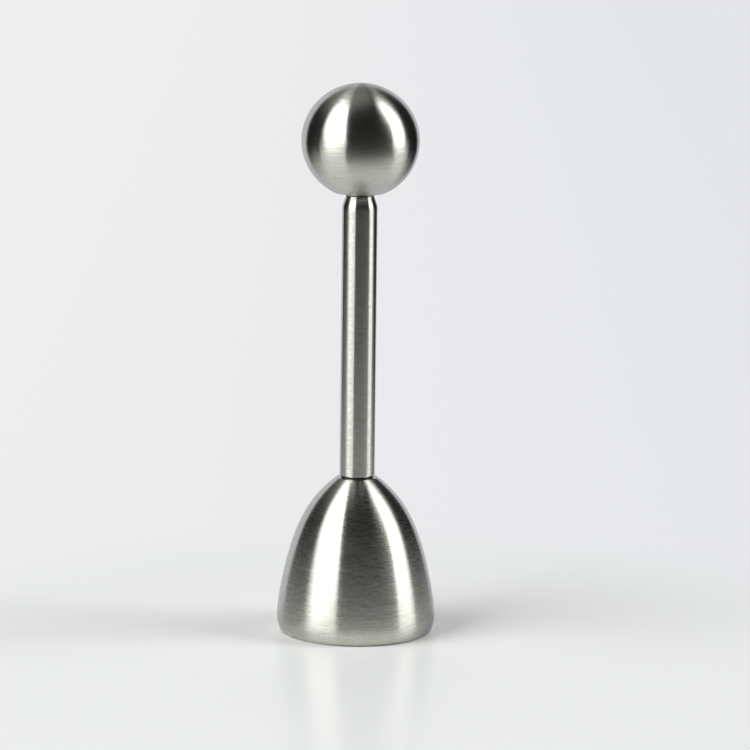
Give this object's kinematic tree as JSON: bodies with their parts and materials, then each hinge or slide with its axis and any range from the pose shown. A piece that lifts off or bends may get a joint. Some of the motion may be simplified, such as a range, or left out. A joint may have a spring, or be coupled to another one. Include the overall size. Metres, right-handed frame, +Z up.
{
  "type": "egg topper",
  "caption": "Egg topper: a hollow steel bell under a slim barrel, with a ball on a sprung rod that is pulled up and let go to crack the shell in a ring.",
  "frame": {"origin": "centre of the bell's rim, in the plane that the bell stands on", "axes": "+Z up the axis that all the pieces share, from the rim to the ball; X and Y are free, because the part is round"},
  "size_m": [0.0406, 0.0406, 0.1413],
  "materials": {
    "bell_steel": "stainless, brushed round on the lathe",
    "ball_steel": "stainless, brushed round on the lathe",
    "barrel_steel": "drawn stainless tube, satin, with a burnished neck",
    "rod_steel": "stainless, centreless ground",
    "turned_steel": "stainless, turned",
    "fastener_steel": "stainless fasteners, tumbled bright",
    "spring_steel": "stainless spring wire, drawn",
    "bush_acetal": "black acetal, turned",
    "spacer_nylon": "black nylon washer"
  },
  "bodies": {
    "housing": {"bell": "bell_steel", "spacer_washer": "spacer_nylon", "anvil_plug": "turned_steel", "inner_washer": "fastener_steel", "lock_washer": "fastener_steel", "cap_nut": "fastener_steel", "barrel": "barrel_steel", "guide_bush": "bush_acetal", "upper_washer": "fastener_steel", "return_spring": "spring_steel"},
    "seat": {"spring_seat": "fastener_steel"},
    "plunger": {"striker": "turned_steel", "striker_pin": "fastener_steel", "plunger_rod": "rod_steel", "ball": "ball_steel"}
  },
  "joints": [
    {"name": "plunger_slide", "type": "slide", "parent": "housing", "child": "seat", "axis": [0, 0, 1], "range_m": [0, 0.02], "stiffness_N_per_m": 560, "springref_m": -0.012, "deforming": ["return_spring"]},
    {"name": "plunger_spin", "type": "hinge", "parent": "seat", "child": "plunger", "pos_m": [0, 0, 0.06445], "axis": [0, 0, 1], "continuous": true}
  ]
}
